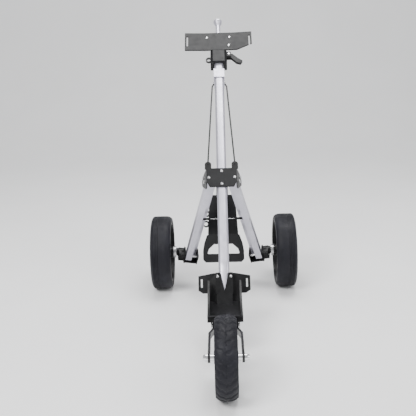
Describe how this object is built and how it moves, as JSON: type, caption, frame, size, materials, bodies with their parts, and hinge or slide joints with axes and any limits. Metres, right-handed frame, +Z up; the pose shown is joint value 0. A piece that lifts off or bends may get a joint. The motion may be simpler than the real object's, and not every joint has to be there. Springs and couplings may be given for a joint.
{
  "type": "golf push trolley",
  "caption": "Three-wheeled golf push trolley with folding legs, a fold-down handle with a scorecard board, and two bag brackets.",
  "frame": {"origin": "on the ground under the middle of the bounding box", "axes": "+Z up, -Y forwards towards the front wheel, +X to the trolley's left"},
  "size_m": [0.472, 1.1204, 0.8745],
  "materials": {
    "aluminium": "satin anodised",
    "black_plastic": "moulded, lightly textured",
    "grip_rubber": "soft touch",
    "tyre_foam": "foam tread",
    "zinc": "zinc plated",
    "chrome": "polished",
    "black_steel": "gloss black",
    "bush_nylon": "plain",
    "clear_cover": "frosted, finely lined"
  },
  "bodies": {
    "frame": {"main_tube": "aluminium", "top_stem": "aluminium", "upper_collar": "black_plastic", "lever_pin": "zinc", "upper_bracket": "black_plastic", "upper_bracket_rivets": "zinc", "hub_front_plate": "black_plastic", "hub_rear_plate": "black_plastic", "hub_rivets": "zinc", "bar_pivot_pin_left": "zinc", "bar_pivot_pin_right": "zinc", "link_pivot_pin_left": "zinc", "link_pivot_pin_right": "zinc", "hinge_bracket": "aluminium", "hinge_pin": "zinc", "stay_rod_left": "black_steel", "stay_rod_right": "black_steel", "lower_bracket": "black_plastic", "lower_bracket_rivets": "zinc", "fork_pin": "zinc", "limit_cable": "zinc", "latch_spring": "zinc"},
    "lever": {"clamp_lever": "black_plastic"},
    "fork": {"front_fork": "black_steel", "front_axle": "chrome", "axle_nuts": "chrome", "axle_spacers": "chrome"},
    "front_wheel": {"front_tyre": "tyre_foam", "front_rim": "black_plastic", "front_bush": "bush_nylon"},
    "latch": {"latch_pull": "black_plastic"},
    "handle": {"handle_tube": "aluminium", "handle_grip": "grip_rubber", "scorecard_board": "black_plastic", "pencil_clip": "black_plastic"},
    "cover": {"scorecard_cover": "clear_cover"},
    "left_leg": {"leg_bar_left": "aluminium", "cable_end_left": "grip_rubber"},
    "left_link": {"leg_link_left": "aluminium"},
    "left_knuckle": {"knuckle_left": "black_plastic", "knuckle_pins_left": "zinc", "axle_left": "zinc"},
    "left_wheel": {"rear_tyre_left": "tyre_foam", "rear_rim_left": "black_plastic", "hub_cap_left": "black_plastic", "wheel_bush_left": "bush_nylon"},
    "right_leg": {"leg_bar_right": "aluminium", "cable_end_right": "grip_rubber"},
    "right_link": {"leg_link_right": "aluminium"},
    "right_knuckle": {"knuckle_right": "black_plastic", "knuckle_pins_right": "zinc", "axle_right": "zinc"},
    "right_wheel": {"rear_tyre_right": "tyre_foam", "rear_rim_right": "black_plastic", "hub_cap_right": "black_plastic", "wheel_bush_right": "bush_nylon"}
  },
  "joints": [
    {"name": "left_leg_fold", "type": "hinge", "parent": "frame", "child": "left_leg", "pos_m": [0.03954, 0.09567, 0.3901], "axis": [-0.9659, 0.183, -0.183], "range_deg": [0, 55], "deforming": ["limit_cable"]},
    {"name": "left_link_fold", "type": "hinge", "parent": "frame", "child": "left_link", "pos_m": [0.0434, 0.12091, 0.39498], "axis": [-0.9659, 0.183, -0.183], "range_deg": [0, 55]},
    {"name": "left_knuckle_turn", "type": "hinge", "parent": "left_leg", "child": "left_knuckle", "pos_m": [0.11664, 0.22246, 0.10998], "axis": [-0.9659, 0.183, -0.183], "range_deg": [-55, 0]},
    {"name": "left_wheel_spin", "type": "hinge", "parent": "left_knuckle", "child": "left_wheel", "pos_m": [0.203, 0.23577, 0.12], "axis": [1, 0, 0], "continuous": true},
    {"name": "right_leg_fold", "type": "hinge", "parent": "frame", "child": "right_leg", "pos_m": [-0.03954, 0.09567, 0.3901], "axis": [-0.9659, -0.183, 0.183], "range_deg": [0, 55]},
    {"name": "right_link_fold", "type": "hinge", "parent": "frame", "child": "right_link", "pos_m": [-0.0434, 0.12091, 0.39498], "axis": [-0.9659, -0.183, 0.183], "range_deg": [0, 55]},
    {"name": "right_knuckle_turn", "type": "hinge", "parent": "right_leg", "child": "right_knuckle", "pos_m": [-0.11664, 0.22246, 0.10998], "axis": [-0.9659, -0.183, 0.183], "range_deg": [-55, 0]},
    {"name": "right_wheel_spin", "type": "hinge", "parent": "right_knuckle", "child": "right_wheel", "pos_m": [-0.203, 0.23577, 0.12], "axis": [1, 0, 0], "continuous": true},
    {"name": "fork_fold", "type": "hinge", "parent": "frame", "child": "fork", "pos_m": [0, -0.27923, 0.096], "axis": [1, 0, 0], "range_deg": [0, 125]},
    {"name": "front_wheel_spin", "type": "hinge", "parent": "fork", "child": "front_wheel", "pos_m": [0, -0.46023, 0.1], "axis": [1, 0, 0], "continuous": true},
    {"name": "latch_slide", "type": "slide", "parent": "frame", "child": "latch", "axis": [0, 1, 0], "range_m": [0, 0.006], "stiffness_N_per_m": 400, "deforming": ["latch_spring"]},
    {"name": "handle_fold", "type": "hinge", "parent": "frame", "child": "handle", "pos_m": [0, 0.40255, 0.66304], "axis": [1, 0, 0], "range_deg": [0, 155]},
    {"name": "cover_flip", "type": "hinge", "parent": "handle", "child": "cover", "pos_m": [0, 0.20936, 0.1885], "axis": [-1, 0, 0], "range_deg": [0, 100]},
    {"name": "lever_open", "type": "hinge", "parent": "frame", "child": "lever", "pos_m": [0.035, 0.43155, 0.74577], "axis": [0, -0.7071, 0.7071], "range_deg": [0, 80]}
  ],
  "couplings": [
    {"joint": "left_link_fold", "follows": "left_leg_fold", "ratio": 1},
    {"joint": "left_knuckle_turn", "follows": "left_leg_fold", "ratio": -1},
    {"joint": "right_leg_fold", "follows": "left_leg_fold", "ratio": 1},
    {"joint": "right_link_fold", "follows": "left_leg_fold", "ratio": 1},
    {"joint": "right_knuckle_turn", "follows": "left_leg_fold", "ratio": -1}
  ]
}
